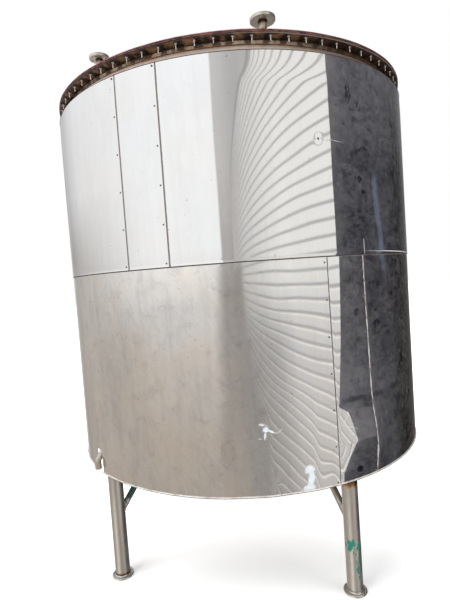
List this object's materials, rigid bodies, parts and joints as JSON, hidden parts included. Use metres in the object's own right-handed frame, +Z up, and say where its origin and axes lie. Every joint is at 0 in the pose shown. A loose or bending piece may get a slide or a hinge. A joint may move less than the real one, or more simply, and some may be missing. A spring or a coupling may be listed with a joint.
{
  "type": "vertical storage tank",
  "caption": "Upright round storage tank with a bolted lid, lid nozzles, riveted sheet cladding, tube legs and a drain spout.",
  "frame": {"origin": "on the floor under the tank's axis", "axes": "+Z up along the tank's axis, -Y is the front that the picture shows, +X is the tank's right as seen from the front"},
  "size_m": [1.9999, 1.9998, 2.872],
  "materials": {
    "cladding": "polished stainless sheet, lightly smudged",
    "closure": "folded stainless sheet",
    "vessel": "stained stainless plate",
    "flange": "stained dark brown",
    "gasket": "aged red rubber",
    "leg": "ground stainless tube",
    "nozzle": "stained stainless, satin"
  },
  "bodies": {
    "root": {"vessel_wall_1": "vessel", "vessel_wall_2": "vessel", "vessel_wall_3": "vessel", "vessel_wall_4": "vessel", "vessel_dished_bottom": "vessel", "vessel_flange": "flange", "flange_gasket": "gasket", "lid_flange": "flange", "lid_cone": "vessel", "middle_nozzle_pipe": "nozzle", "middle_nozzle_flange": "nozzle", "left_nozzle_pipe": "nozzle", "left_nozzle_flange": "nozzle", "top_closure_1": "closure", "top_closure_2": "closure", "top_closure_3": "closure", "top_closure_4": "closure", "bottom_closure_1": "closure", "bottom_closure_2": "closure", "bottom_closure_3": "closure", "bottom_closure_4": "closure", "upper_strip": "cladding", "upper_sheet_1": "cladding", "upper_sheet_2": "cladding", "upper_sheet_3": "cladding", "lower_strip": "cladding", "lower_sheet_1": "cladding", "lower_sheet_2": "cladding", "lower_sheet_3": "cladding", "front_left_leg": "leg", "front_left_foot": "leg", "front_left_brace": "leg", "front_right_leg": "leg", "front_right_foot": "leg", "front_right_brace": "leg", "back_left_leg": "leg", "back_left_foot": "leg", "back_left_brace": "leg", "back_right_leg": "leg", "back_right_foot": "leg", "back_right_brace": "leg", "drain_spout": "nozzle"}
  },
  "joints": []
}
